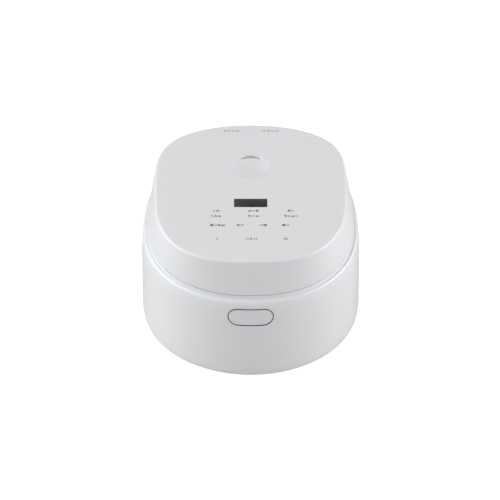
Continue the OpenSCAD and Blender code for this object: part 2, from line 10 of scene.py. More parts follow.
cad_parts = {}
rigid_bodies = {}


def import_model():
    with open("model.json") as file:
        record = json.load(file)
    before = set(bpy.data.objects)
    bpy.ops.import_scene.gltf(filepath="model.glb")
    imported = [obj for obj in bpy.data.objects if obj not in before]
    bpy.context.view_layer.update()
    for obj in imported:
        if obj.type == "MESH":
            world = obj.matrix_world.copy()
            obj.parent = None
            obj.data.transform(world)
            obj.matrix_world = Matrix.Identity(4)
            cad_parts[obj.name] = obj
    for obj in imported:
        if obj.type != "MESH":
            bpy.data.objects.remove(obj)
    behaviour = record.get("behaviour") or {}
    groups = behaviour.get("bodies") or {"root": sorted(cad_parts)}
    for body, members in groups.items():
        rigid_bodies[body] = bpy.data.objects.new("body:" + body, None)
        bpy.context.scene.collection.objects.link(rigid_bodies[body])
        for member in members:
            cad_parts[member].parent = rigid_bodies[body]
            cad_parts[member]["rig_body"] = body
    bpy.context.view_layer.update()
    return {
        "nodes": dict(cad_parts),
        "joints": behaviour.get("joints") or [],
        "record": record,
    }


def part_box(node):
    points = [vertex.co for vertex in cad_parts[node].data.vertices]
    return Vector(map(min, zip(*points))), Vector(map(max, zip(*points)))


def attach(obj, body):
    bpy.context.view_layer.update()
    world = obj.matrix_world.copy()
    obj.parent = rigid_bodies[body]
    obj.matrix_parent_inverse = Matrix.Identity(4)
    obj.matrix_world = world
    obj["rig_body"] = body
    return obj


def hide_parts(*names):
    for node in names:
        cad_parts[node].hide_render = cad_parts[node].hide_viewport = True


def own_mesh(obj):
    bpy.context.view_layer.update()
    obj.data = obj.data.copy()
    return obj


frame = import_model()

MM = 0.001
NODES = frame["nodes"]

# ------------------------------------------------------------------ driving values, from the frame

CASING_LO, CASING_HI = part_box("outer_casing")
LID_LO, LID_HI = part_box("lid_cover")
CAP_LO, CAP_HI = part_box("steam_cap_upper")
BUTTON_LO, BUTTON_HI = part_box("release_button")
WINDOW_LO, WINDOW_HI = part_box("display_window")
HINGE = next(j for j in frame["joints"] if j["name"] == "lid_hinge")["pos_m"]

HALF_W = CASING_HI.x
MID_Y = -11 * MM
FRONT = MID_Y - CASING_LO.y
REAR = CASING_HI.y - MID_Y
COLLAR_Z = CASING_HI.z
LEDGE_Z = COLLAR_Z - 4.4 * MM
SEAM_Z = LID_LO.z
# The printed marks stand on the deck and stay below the CAD cover's top
MARK_ROOM = 0.03 * MM
DECK_Z = LID_HI.z - MARK_ROOM
WALL = 2.5 * MM

# Plan outlines are superellipses with bends (front along X, front along Y, rear along X, rear along Y):
# 2 is an ellipse, larger along X flattens the front or back, larger along Y straightens the sides
BODY_BENDS = (1.92, 2.36, 3.4, 2.0)
SEAM = {"half": 125.6 * MM, "front": 141 * MM, "rear": 145 * MM, "bends": (2.25, 2.25, 2.5, 2.3)}
DECK = {"half": 116.9 * MM, "front": 134 * MM, "rear": 140.8 * MM, "bends": (2.6, 2.6, 2.03, 4.26)}

CAP_CENTRE = (CAP_LO + CAP_HI) / 2
CAP_R = (CAP_HI.x - CAP_LO.x) / 2
BUTTON_Z = (BUTTON_LO.z + BUTTON_HI.z) / 2
BUTTON_W = BUTTON_HI.x - BUTTON_LO.x
BUTTON_H = BUTTON_HI.z - BUTTON_LO.z
BUTTON_GAP = 1.0 * MM

# Points round each plan outline
AROUND = 288


# ------------------------------------------------------------------ mesh helpers

def link(name, mesh):
    obj = bpy.data.objects.new(name, mesh)
    bpy.context.scene.collection.objects.link(obj)
    return obj


def mesh_object(name, verts, faces):
    mesh = bpy.data.meshes.new(name)
    mesh.from_pydata([tuple(v) for v in verts], [], faces)
    mesh.validate()
    mesh.update()
    return link(name, mesh)


def smooth(obj, angle):
    obj.data.shade_smooth()
    obj.data.set_sharp_from_angle(angle=math.radians(angle))
    return obj


def apply_modifiers(obj):
    graph = bpy.context.evaluated_depsgraph_get()
    graph.update()
    mesh = bpy.data.meshes.new_from_object(obj.evaluated_get(graph))
    obj.modifiers.clear()
    old, obj.data = obj.data, mesh
    bpy.data.meshes.remove(old)
    return obj


def cut(obj, *cutters):
    """Takes the cutters out of obj and deletes them."""
    for cutter in cutters:
        modifier = obj.modifiers.new("cut", "BOOLEAN")
        modifier.operation = "DIFFERENCE"
        modifier.solver = "EXACT"
        modifier.object = cutter
    apply_modifiers(obj)
    for cutter in cutters:
        bpy.data.objects.remove(cutter)
    return obj


def ease_edges(obj, width, segments, angle):
    """Rounds the edges that turn by more than angle degrees."""
    modifier = obj.modifiers.new("ease", "BEVEL")
    modifier.width = width
    modifier.segments = segments
    modifier.limit_method = "ANGLE"
    modifier.angle_limit = math.radians(angle)
    modifier.use_clamp_overlap = True
    return apply_modifiers(obj)


def join(name, objects):
    """One object from several, in the first one's place."""
    merged = bmesh.new()
    for obj in objects:
        merged.from_mesh(obj.data)
    mesh = bpy.data.meshes.new(name)
    merged.to_mesh(mesh)
    merged.free()
    for obj in objects:
        bpy.data.objects.remove(obj)
    return link(name, mesh)


def mix(a, b, share):
    return a + (b - a) * share


def flow(points, steps=3):
    """A smooth line through the points (centripetal Catmull-Rom), with steps stretches between each two."""
    points = [Vector(p) for p in points]
    count = len(points)
    line = []
    for i in range(count - 1):
        p1, p2 = points[i], points[i + 1]
        p0 = points[i - 1] if i else p1 * 2 - p2
        p3 = points[i + 2] if i + 2 < count else p2 * 2 - p1
        t1 = max((p1 - p0).length, 1e-9) ** 0.5
        t2 = t1 + max((p2 - p1).length, 1e-9) ** 0.5
        t3 = t2 + max((p3 - p2).length, 1e-9) ** 0.5
        for k in range(steps):
            t = mix(t1, t2, k / steps)
            a1 = p0 * ((t1 - t) / t1) + p1 * (t / t1)
            a2 = p1 * ((t2 - t) / (t2 - t1)) + p2 * ((t - t1) / (t2 - t1))
            a3 = p2 * ((t3 - t) / (t3 - t2)) + p3 * ((t - t2) / (t3 - t2))
            b1 = a1 * ((t2 - t) / t2) + a2 * (t / t2)
            b2 = a2 * ((t3 - t) / (t3 - t1)) + a3 * ((t - t1) / (t3 - t1))
            line.append(b1 * ((t2 - t) / (t2 - t1)) + b2 * ((t - t1) / (t2 - t1)))
    line.append(points[-1])
    return line


def bulge(value, bend):
    """A sine or cosine bent from an ellipse's to a superellipse's."""
    return math.copysign(abs(value) ** (2 / bend), value)


def plan(half, front, rear, bends):
    """A closed plan outline round (0, MID_Y), with evenly spaced points and its first point at +X."""
    dense = []
    fine = AROUND * 8
    for i in range(fine + 1):
        turn = 2 * math.pi * i / fine
        c, s = math.cos(turn), math.sin(turn)
        (along_x_bend, along_y_bend), reach = (bends[:2], front) if s < 0 else (bends[2:], rear)
        dense.append(Vector((half * bulge(c, along_x_bend), MID_Y + reach * bulge(s, along_y_bend))))
    run = [0.0]
    for a, b in zip(dense, dense[1:]):
        run.append(run[-1] + (b - a).length)
    points, k = [], 0
    for i in range(AROUND):
        want = run[-1] * i / AROUND
        while run[k + 1] < want:
            k += 1
        points.append(dense[k].lerp(dense[k + 1], (want - run[k]) / (run[k + 1] - run[k])))
    return points


def casing_plan(inset):
    return plan(HALF_W - inset, FRONT - inset, REAR - inset, BODY_BENDS)


def lid_plan(share, inset):
    """The lid's outline: share 0 is the seam with the body, share 1 the deck."""
    half, front, rear = (mix(SEAM[k], DECK[k], share) for k in ("half", "front", "rear"))
    bends = [mix(a, b, share) for a, b in zip(SEAM["bends"], DECK["bends"])]
    return plan(half - inset, front - inset, rear - inset, bends)


def loft(name, rings, wrapped=False):
    """A skin through rings of equal count. A wrapped skin joins its last ring to its first."""
    across = len(rings[0])
    verts = [v for ring in rings for v in ring]
    count = len(rings)
    faces = []
    for i in range(count if wrapped else count - 1):
        for j in range(across):
            a, b = i * across + j, i * across + (j + 1) % across
            up = ((i + 1) % count) * across
            faces.append((a, b, up + (j + 1) % across, up + j))
    if not wrapped:
        faces.append(tuple(reversed(range(across))))
        faces.append(tuple(range((count - 1) * across, count * across)))
    return mesh_object(name, verts, faces)


def raised(outline, z):
    """A flat outline lifted to the height z."""
    return [(p[0], p[1], z) for p in outline]


def circle(r, count, centre=(0, 0)):
    turns = [2 * math.pi * k / count for k in range(count)]
    return [Vector((centre[0] + r * math.cos(turn), centre[1] + r * math.sin(turn))) for turn in turns]


def lathe(name, profile, centre, steps=160):
    """Turns a closed profile of (radius, height) round the upright line through centre."""
    rings = [raised(circle(max(r, 1e-6), steps, centre), z) for r, z in profile]
    return loft(name, rings, wrapped=True)


def stadium(w, h, count=24, along=1):
    """Outline of a round-ended oblong about its centre, anticlockwise. Each long edge has along stretches."""
    r = h / 2
    points = []
    for side in (1, -1):
        for k in range(count + 1):
            turn = math.pi * (k / count - 0.5) + (0 if side == 1 else math.pi)
            points.append(Vector((side * (w / 2 - r) + r * math.cos(turn), r * math.sin(turn))))
        end = points[-1]
        points += [end - Vector((side * (w - h) * k / along, 0)) for k in range(1, along)]
    return points


def rounded_box(w, h, r, count=8):
    """Outline of a rectangle with round corners about its centre, anticlockwise."""
    points = []
    for q, (sx, sy) in enumerate(((1, -1), (1, 1), (-1, 1), (-1, -1))):
        for k in range(count + 1):
            turn = math.radians(90) * (q - 1 + k / count)
            x = sx * (w / 2 - r) + r * math.cos(turn)
            y = sy * (h / 2 - r) + r * math.sin(turn)
            points.append(Vector((x, y)))
    return points


def prism(name, outline, z0, z1):
    """A block of the outline's shape, from z0 up to z1."""
    return loft(name, [raised(outline, z0), raised(outline, z1)])


def upright(obj, at):
    """Stands up an object drawn flat, its own Y upwards and its own Z to the front, and moves it."""
    obj.data.transform(Matrix.Translation(at) @ Matrix.Rotation(math.radians(90), 4, "X"))
    return obj


def along_x(obj, at=(0, 0, 0)):
    """Turns an object drawn in (y, z) and extruded along its own Z so that it runs along X, then moves it."""
    turn = Matrix(((0, 0, 1, 0), (1, 0, 0, 0), (0, 1, 0, 0), (0, 0, 0, 1)))
    obj.data.transform(Matrix.Translation(at) @ turn)
    return obj


# ------------------------------------------------------------------ materials

def new_material(name):
    material = bpy.data.materials.new(name)
    material.use_nodes = True
    nodes, links = material.node_tree.nodes, material.node_tree.links
    return material, nodes, links, nodes["Principled BSDF"]


def noise(nodes, links, scale, detail=3.0, rough=0.5, stretch=None):
    """A noise pattern in object space. scale is in features per metre."""
    place = nodes.new("ShaderNodeTexCoord")
    pattern = nodes.new("ShaderNodeTexNoise")
    pattern.inputs["Scale"].default_value = scale
    pattern.inputs["Detail"].default_value = detail
    pattern.inputs["Roughness"].default_value = rough
    if stretch:
        mapping = nodes.new("ShaderNodeMapping")
        mapping.inputs["Scale"].default_value = stretch
        links.new(place.outputs["Object"], mapping.inputs["Vector"])
        links.new(mapping.outputs["Vector"], pattern.inputs["Vector"])
    else:
        links.new(place.outputs["Object"], pattern.inputs["Vector"])
    return pattern.outputs["Fac"]


def ramp(nodes, links, source, stops):
    """Colours or greys along a value: stops are (position, colour)."""
    node = nodes.new("ShaderNodeValToRGB")
    while len(node.color_ramp.elements) < len(stops):
        node.color_ramp.elements.new(0.5)
    for element, (position, colour) in zip(node.color_ramp.elements, stops):
        element.position = position
        element.color = (*colour, 1)
    links.new(source, node.inputs["Fac"])
    return node.outputs["Color"]


def spread(nodes, links, source, low, high):
    """A 0 to 1 pattern stretched to run from low to high."""
    node = nodes.new("ShaderNodeMapRange")
    node.inputs["To Min"].default_value = low
    node.inputs["To Max"].default_value = high
    links.new(source, node.inputs["Value"])
    return node.outputs["Result"]


def bump(nodes, links, shader, source, height):
    """Bump from a 0 to 1 pattern, height in metres."""
    node = nodes.new("ShaderNodeBump")
    node.inputs["Distance"].default_value = height
    links.new(source, node.inputs["Height"])
    links.new(node.outputs["Normal"], shader.inputs["Normal"])


def shade(colour, by):
    """The colour made lighter or darker by a factor."""
    return tuple(max(0.0, min(1.0, c * by)) for c in colour)


def moulded(name, colour, roughness, grain_scale, grain_height, vary=0.03, coat=0.0, specular=0.5):
    """Moulded plastic or rubber: faint colour drift, uneven gloss and a fine surface grain."""
    material, nodes, links, shader = new_material(name)
    drift = noise(nodes, links, 14, 4, 0.6)
    links.new(ramp(nodes, links, drift, [(0.3, shade(colour, 1 - vary)), (0.7, shade(colour, 1 + vary))]),
              shader.inputs["Base Color"])
    gloss = noise(nodes, links, 60, 3, 0.5)
    links.new(spread(nodes, links, gloss, roughness * 0.9, roughness * 1.12), shader.inputs["Roughness"])
    shader.inputs["Specular IOR Level"].default_value = specular
    shader.inputs["Coat Weight"].default_value = coat
    shader.inputs["Coat Roughness"].default_value = 0.12
    bump(nodes, links, shader, noise(nodes, links, grain_scale, 2, 0.5), grain_height)
    return material


def metal(name, colour, roughness, stretch, scale=900, vary=0.05):
    """Drawn or brushed metal: fine lines along one way."""
    material, nodes, links, shader = new_material(name)
    lines = noise(nodes, links, scale, 4, 0.6, stretch)
    links.new(ramp(nodes, links, lines, [(0.25, shade(colour, 1 - vary)), (0.75, shade(colour, 1 + vary))]),
              shader.inputs["Base Color"])
    links.new(spread(nodes, links, lines, roughness * 0.75, roughness * 1.3), shader.inputs["Roughness"])
    shader.inputs["Metallic"].default_value = 1.0
    bump(nodes, links, shader, lines, 0.00002)
    return material


WHITE = (0.785, 0.795, 0.812)


def make_materials():
    kinds = {}
    kinds["white_gloss"] = moulded("gloss_white", WHITE, 0.30, 2600, 0.000002, 0.002, coat=0.2)
    kinds["white_matte"] = moulded("matt_white", (0.70, 0.70, 0.69), 0.5, 1600, 0.00003, 0.012)
    kinds["ivory_plastic"] = moulded("ivory_plastic", (0.70, 0.66, 0.53), 0.45, 900, 0.00003, 0.03)
    kinds["grey_base"] = moulded("grey_base", (0.50, 0.50, 0.50), 0.55, 1300, 0.00006, 0.02)
    kinds["black_plastic"] = moulded("black_plastic", (0.022, 0.022, 0.024), 0.42, 1500, 0.00003, 0.2)
    kinds["dark_rubber"] = moulded("dark_rubber", (0.035, 0.035, 0.035), 0.75, 700, 0.00008, 0.15,
                                   specular=0.3)
    kinds["liner_plastic"] = moulded("liner_plastic", (0.13, 0.105, 0.085), 0.5, 700, 0.00005, 0.12)
    kinds["ferrite"] = moulded("ferrite", (0.045, 0.045, 0.048), 0.6, 1800, 0.00006, 0.15)
    kinds["capacitor_case"] = moulded("capacitor_case", (0.62, 0.43, 0.06), 0.3, 500, 0.00002, 0.05)
    kinds["lead_cover"] = moulded("lead_cover", (0.45, 0.02, 0.02), 0.45, 800, 0.00002, 0.08)
    kinds["fuse_body"] = moulded("fuse_body", (0.68, 0.66, 0.60), 0.35, 700, 0.00003, 0.05)
    kinds["steel"] = metal("steel", (0.62, 0.62, 0.63), 0.28, (1, 1, 0.05))
    kinds["spring_steel"] = metal("spring_steel", (0.48, 0.48, 0.50), 0.3, (1, 1, 1), 500)
    kinds["aluminium"] = metal("aluminium", (0.78, 0.78, 0.79), 0.36, (0.06, 1, 1))
    kinds["contact_brass"] = metal("contact_brass", (0.78, 0.58, 0.26), 0.25, (1, 0.1, 1))
    kinds["silicone"] = silicone()
    kinds["pot_coating"] = pot_coating()
    kinds["copper_wire"] = copper_wire()
    kinds["circuit_board"] = circuit_board()
    kinds["smoked_window"] = smoked_window()
    return kinds


def silicone():
    """Milky silicone that lets a little light into it."""
    material, nodes, links, shader = new_material("silicone")
    drift = noise(nodes, links, 40, 3)
    links.new(ramp(nodes, links, drift, [(0.3, (0.66, 0.66, 0.64)), (0.7, (0.72, 0.72, 0.70))]),
              shader.inputs["Base Color"])
    shader.inputs["Roughness"].default_value = 0.42
    shader.inputs["Subsurface Weight"].default_value = 0.25
    shader.inputs["Subsurface Scale"].default_value = 0.002
    bump(nodes, links, shader, noise(nodes, links, 1200, 2), 0.00001)
    return material


def pot_coating():
    """Dark non-stick coating with a fine pale fleck."""
    material, nodes, links, shader = new_material("pot_coating")
    fleck = noise(nodes, links, 1500, 2, 0.4)
    links.new(ramp(nodes, links, fleck, [
        (0.0, (0.032, 0.029, 0.027)), (0.60, (0.042, 0.038, 0.035)),
        (0.66, (0.12, 0.11, 0.10)), (0.72, (0.36, 0.33, 0.29))
    ]), shader.inputs["Base Color"])
    links.new(spread(nodes, links, fleck, 0.30, 0.42), shader.inputs["Roughness"])
    bump(nodes, links, shader, noise(nodes, links, 800, 3), 0.00002)
    return material


def copper_wire():
    """Turns of enamelled wire, seen as rings round the pot's axis."""
    material, nodes, links, shader = new_material("copper_wire")
    place = nodes.new("ShaderNodeTexCoord")
    shift = nodes.new("ShaderNodeMapping")
    shift.inputs["Location"].default_value = (0, -MID_Y, 0)
    links.new(place.outputs["Object"], shift.inputs["Vector"])
    rings = nodes.new("ShaderNodeTexWave")
    rings.wave_type = "RINGS"
    rings.rings_direction = "Z"
    rings.inputs["Scale"].default_value = 130
    links.new(shift.outputs["Vector"], rings.inputs["Vector"])
    bands = ramp(nodes, links, rings.outputs["Fac"], [(0.1, (0.16, 0.05, 0.02)), (0.7, (0.62, 0.26, 0.11))])
    links.new(bands, shader.inputs["Base Color"])
    shader.inputs["Metallic"].default_value = 0.75
    shader.inputs["Roughness"].default_value = 0.35
    bump(nodes, links, shader, rings.outputs["Fac"], 0.0004)
    return material


def circuit_board():
    """Green board with paler tracks."""
    material, nodes, links, shader = new_material("circuit_board")
    tracks = nodes.new("ShaderNodeTexBrick")
    place = nodes.new("ShaderNodeTexCoord")
    links.new(place.outputs["Object"], tracks.inputs["Vector"])
    tracks.inputs["Scale"].default_value = 90
    tracks.inputs["Mortar Size"].default_value = 0.03
    tracks.inputs["Color1"].default_value = (0.012, 0.14, 0.05, 1)
    tracks.inputs["Color2"].default_value = (0.016, 0.18, 0.07, 1)
    tracks.inputs["Mortar"].default_value = (0.10, 0.34, 0.14, 1)
    links.new(tracks.outputs["Color"], shader.inputs["Base Color"])
    shader.inputs["Roughness"].default_value = 0.35
    bump(nodes, links, shader, tracks.outputs["Fac"], 0.00003)
    return material


def smoked_window():
    """Smoked panel over the display: nearly black, with a polished face."""
    material, nodes, links, shader = new_material("smoked_window")
    drift = noise(nodes, links, 30, 2)
    links.new(ramp(nodes, links, drift, [(0.3, (0.026, 0.026, 0.028)), (0.7, (0.031, 0.031, 0.033))]),
              shader.inputs["Base Color"])
    shader.inputs["Roughness"].default_value = 0.16
    shader.inputs["Coat Weight"].default_value = 0.4
    return material


def printed(name, colour):
    """Thin ink: slightly uneven and matt."""
    material, nodes, links, shader = new_material(name)
    drift = noise(nodes, links, 2500, 2)
    links.new(ramp(nodes, links, drift, [(0.3, shade(colour, 0.92)), (0.7, shade(colour, 1.08))]),
              shader.inputs["Base Color"])
    shader.inputs["Roughness"].default_value = 0.5
    return material


MATERIALS = make_materials()
SLOT_OF = {row["node"]: row["material_slot"] for row in frame["record"]["subparts"]}


def even_normals(obj):
    """Lets the large faces set the shading, so that the small ones beside them draw no streaks."""
    modifier = obj.modifiers.new("even", "WEIGHTED_NORMAL")
    modifier.keep_sharp = True
    modifier.weight = 100
    return apply_modifiers(obj)


def finish_piece(obj, body, slot_name, *replaced, material=None, angle=35, even=False):
    """Paints a piece, puts it on its body and hides the CAD nodes that it stands for."""
    obj.data.materials.clear()
    obj.data.materials.append(material or MATERIALS[slot_name])
    smooth(obj, angle)
    if even:
        even_normals(obj)
    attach(obj, body)
    if replaced:
        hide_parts(*replaced)
    return obj


def paint_cad_nodes():
    """Gives every CAD node its slot's material. Those that a piece replaces are hidden by it."""
    for name, obj in NODES.items():
        obj.data.materials.clear()
        obj.data.materials.append(MATERIALS[SLOT_OF[name]])
        smooth(obj, 30)


# ------------------------------------------------------------------ body shells

# The casing's wall from its foot up, as (inset from the widest outline, height) in mm
CASING_OUTSIDE = [
    (2.8, 4.0), (1.6, 4.8), (0.7, 6.6), (0.2, 10), (0.0, 18), (0.0, 40), (0.0, 68), (0.06, 80), (0.3, 92),
    (0.75, 102), (1.35, 108), (2.1, 111.6), (2.9, 113.4), (3.8, 114.4), (4.8, 114.8)
]
# The collar that the lid closes on, as (inset from the seam's outline, height above the ledge) in mm
COLLAR = [
    (-0.2, 0.0), (-0.15, 0.5), (-0.1, 2.0), (0.0, 3.7), (0.05, 4.05), (0.18, 4.3), (0.4, 4.4), (2.4, 4.4),
    (2.6, 4.2), (2.6, -1.9)
]
# The wall's inner face from the collar down, as (inset from the widest outline, height) in mm
CASING_INSIDE = [
    (7.0, 112.4), (5.0, 110.5), (3.7, 104), (3.0, 93), (2.5, 70), (2.5, 30), (2.8, 12), (3.4, 7), (4.6, 4.0)
]


def casing_rings():
    """Rings round the casing's wall: up the outside, over the ledge and the collar and down the inside."""
    outside = flow([(inset, height, 0) for inset, height in CASING_OUTSIDE])
    rings = [raised(casing_plan(max(0.0, p.x) * MM), p.y * MM) for p in outside]
    rings += [raised(lid_plan(0, inset * MM), LEDGE_Z + rise * MM) for inset, rise in COLLAR]
    return rings + [raised(casing_plan(inset * MM), height * MM) for inset, height in CASING_INSIDE]


# The button's opening goes this far in from the casing's front
HOLE_DEPTH = 11.8 * MM
INLET_W = 32.4 * MM
INLET_H = 22.4 * MM
VENT_W = 3 * MM
VENT_H = 26 * MM
VENT_STEP = 8 * MM
VENT_Z = 27 * MM
# How far a cutter sticks out of the face that it cuts
PAST = 3 * MM


def button_opening():
    outline = stadium(BUTTON_W + 2 * BUTTON_GAP, BUTTON_H + 2 * BUTTON_GAP)
    cutter = prism("button_hole", outline, 0, HOLE_DEPTH + 2 * MM)
    return upright(cutter, (0, CASING_LO.y + HOLE_DEPTH, BUTTON_Z))


def inlet_opening():
    low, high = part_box("power_inlet")
    cutter = prism("inlet_hole", rounded_box(INLET_W, INLET_H, 2 * MM), 0, 12 * MM)
    return upright(cutter, (0, CASING_HI.y + PAST, (low.z + high.z) / 2))


def vents():
    """Upright slots, three on each side of the power inlet."""
    cutters = []
    for place in (-5, -4, -3, 3, 4, 5):
        slot = prism("vent", stadium(VENT_H, VENT_W, 8), 0, 25 * MM)
        slot.data.transform(Matrix.Rotation(math.radians(90), 4, "Z"))
        cutters.append(upright(slot, (place * VENT_STEP, CASING_HI.y + PAST, VENT_Z)))
    return cutters


def outer_casing():
    """Shell of the body with the collar inside it, and openings for the button, the inlet and the air."""
    shell = loft("casing_shell", casing_rings(), wrapped=True)
    cut(shell, button_opening(), inlet_opening(), *vents())
    ease_edges(shell, 0.15 * MM, 2, 50)
    return finish_piece(shell, "body", "white_gloss", "outer_casing", angle=40, even=True)


def hinge_cover():
    """Barrel over the hinge with flanks running down to the body's top."""
    low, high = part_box("hinge_cover")
    r = high.z - HINGE[2]
    flank_front, flank_rear, collar_back = -11.4 * MM, 12.4 * MM, 8.5 * MM
    over_collar = COLLAR_Z + 0.1 * MM - HINGE[2]
    outline = [Vector((collar_back, over_collar)), Vector((flank_front, over_collar))]
    start = math.pi + math.asin(min(1, math.sqrt(max(0, r * r - flank_front ** 2)) / r))
    end = -math.asin(math.sqrt(r * r - flank_rear ** 2) / r)
    steps = 48
    for k in range(steps + 1):
        turn = mix(start, end, k / steps)
        outline.append(Vector((r * math.cos(turn), r * math.sin(turn))))
    outline += [Vector((flank_rear, low.z - HINGE[2])), Vector((collar_back, low.z - HINGE[2]))]
    outline.reverse()
    cover = prism("hinge_barrel", outline, low.x, high.x)
    along_x(cover, (0, HINGE[1], HINGE[2]))
    ease_edges(cover, 1.4 * MM, 4, 60)
    return finish_piece(cover, "body", "white_gloss", "hinge_cover", angle=30)


# ------------------------------------------------------------------ lid

# The lid's outside, as (share of the way from seam to deck, inset, height above the seam), in mm
LID_CROWN = [
    (0.0, 1.3, 0.0), (0.0, 0.55, 0.18), (0.012, 0.12, 0.8), (0.04, 0.0, 1.9), (0.12, 0.0, 5.6),
    (0.24, 0.0, 10.9), (0.37, 0.0, 16.4), (0.50, 0.0, 21.8), (0.64, 0.0, 27.3), (0.77, 0.0, 32.2),
    (0.89, 0.0, 36.6), (0.96, 0.0, 39.4), (1.0, 0.05, 41.5), (1.0, 0.45, 43.2), (1.0, 1.35, 44.4),
    (1.0, 2.8, 45.05), (1.0, 5.5, 45.45), (1.0, 13.0, 45.9), (1.0, 22.0, 46.3), (1.0, 32.0, 46.65),
    (1.0, 44.0, 46.9), (1.0, 56.0, 47.0)
]
CROWN_H = 47
# The lid's lower edge comes this much nearer to the collar, except beside the hinge
SEAM_DROP = 0.6 * MM
DECK_WALL = 2.4 * MM
UNDER_DECK = DECK_Z - DECK_WALL


def lid_height(z_mm):
    """Heights in LID_CROWN are over a cover CROWN_H tall; this fits them to the frame's."""
    return SEAM_Z + z_mm * MM * (DECK_Z - SEAM_Z) / (CROWN_H * MM)


def lid_rings():
    """Rings from under the deck's middle down the hollow to the seam, then up the outside to the deck."""
    hollow = [
        (1.0, 62 * MM, UNDER_DECK), (1.0, 50 * MM, UNDER_DECK), (1.0, 30 * MM, UNDER_DECK - 0.4 * MM),
        (1.0, 9 * MM, UNDER_DECK - 1.5 * MM), (1.0, 4.4 * MM, UNDER_DECK - 4 * MM),
        (0.92, WALL + 0.2 * MM, 157 * MM), (0.5, WALL, 142 * MM), (0.08, WALL, 125 * MM),
        (0.0, WALL + 0.6 * MM, SEAM_Z)
    ]
    crown = [(p.x, p.y * MM, lid_height(p.z)) for p in flow(LID_CROWN)]
    crown += [(1.0, 58 * MM, DECK_Z), (1.0, 62 * MM, DECK_Z)]
    return [raised(lid_plan(share, inset), z) for share, inset, z in hollow + crown]


def hinge_notch():
    """Cutter that clears the hinge cover, with a round corner at its upper front."""
    half, front, top = 37.5 * MM, HINGE[1] - 13.8 * MM, HINGE[2] + 13.8 * MM
    back, bottom, corner = 150 * MM, SEAM_Z - 2 * MM, 5 * MM
    outline = [Vector(p) for p in ((front, bottom), (back, bottom), (back, top))]
    for k in range(7):
        turn = math.radians(90) * k / 6
        y = front + corner * (1 - math.sin(turn))
        outline.append(Vector((y, top - corner * (1 - math.cos(turn)))))
    return along_x(prism("notch", outline, -half, half))


def deck_opening(name, outline, centre):
    """Cutter through the deck."""
    return prism(name, [p + centre.xy for p in outline], UNDER_DECK - 3 * MM, DECK_Z + 2 * MM)


def lid_cover():
    """Shell of the lid, with its lower edge brought down towards the collar and openings in its deck."""
    shell = loft("lid_shell", lid_rings())
    for v in shell.data.vertices:
        near_seam = max(0.0, 1 - (v.co.z - SEAM_Z) / (12 * MM))
        ahead = min(1.0, max(0.0, (115 * MM - v.co.y) / (25 * MM)))
        v.co.z -= SEAM_DROP * near_seam * ahead
    well = deck_opening("well", circle(CAP_R + 0.12 * MM, 128), CAP_CENTRE)
    size = WINDOW_HI - WINDOW_LO
    play = 0.24 * MM
    outline = rounded_box(size.x + play, size.y + play, 0.45 * MM)
    window = deck_opening("window", outline, (WINDOW_LO + WINDOW_HI) / 2)
    cut(shell, well, window, hinge_notch())
    ease_edges(shell, 0.12 * MM, 2, 50)
    return finish_piece(shell, "lid", "white_gloss", "lid_cover", angle=40, even=True)


UNLIT = printed("unlit_segment", (0.034, 0.034, 0.037))
INK = printed("grey_ink", (0.045, 0.045, 0.05))
FAINT_INK = printed("pale_ink", (0.22, 0.22, 0.23))
PALE_INK = printed("tick_ink", (0.55, 0.55, 0.53))


def segments():
    """Outlines of four digits and a colon, about the display's centre."""
    digit_w, digit_h, bar = 3.6 * MM, 7.4 * MM, 0.7 * MM
    outlines = []
    for x in (-9.6 * MM, -4.2 * MM, 4.2 * MM, 9.6 * MM):
        for side in (-1, 1):
            for half in (-1, 1):
                place = (x + side * digit_w / 2, half * digit_h / 4)
                outlines.append(bar_outline(place, bar, digit_h / 2 - 1.1 * bar))
        for level in (-1, 0, 1):
            outlines.append(bar_outline((x, level * digit_h / 2), digit_w - 1.1 * bar, bar))
    for level in (-1, 1):
        outlines.append(circle(0.42 * MM, 12, (0, level * 1.5 * MM)))
    return outlines


def display():
    """Smoked window flush with the deck, with unlit digit segments printed faintly on its face."""
    centre = (WINDOW_LO + WINDOW_HI) / 2
    top = WINDOW_HI.z - 0.05 * MM
    outline = rounded_box(WINDOW_HI.x - WINDOW_LO.x, WINDOW_HI.y - WINDOW_LO.y, 0.35 * MM)
    window = prism("display_glass", [p + centre.xy for p in outline], WINDOW_LO.z, top)
    ease_edges(window, 0.18 * MM, 2, 50)
    finish_piece(window, "lid", "smoked_window", "display_window", angle=30)
    bars = []
    for segment in segments():
        placed = [p + centre.xy for p in segment]
        bars.append(prism("segment", placed, top - 0.02 * MM, top + 0.012 * MM))
    return finish_piece(join("display_segments", bars), "lid", "smoked_window", material=UNLIT)


def bar_outline(centre, w, h):
    """Outline of a bar with round corners."""
    return [Vector(centre) + p for p in rounded_box(w, h, min(w, h) * 0.45, 3)]


# ------------------------------------------------------------------ steam cap and button

# The dish is part of a sphere of radius DISH_CURVE, cut off at DISH_R from the cap's axis
DISH_R = 24.5 * MM
DISH_CURVE = 84 * MM


def dish_depth(r):
    """Depth of the steam cap's dish at a distance from its axis."""
    r = min(r, DISH_R)
    return math.sqrt(DISH_CURVE ** 2 - r ** 2) - math.sqrt(DISH_CURVE ** 2 - DISH_R ** 2)


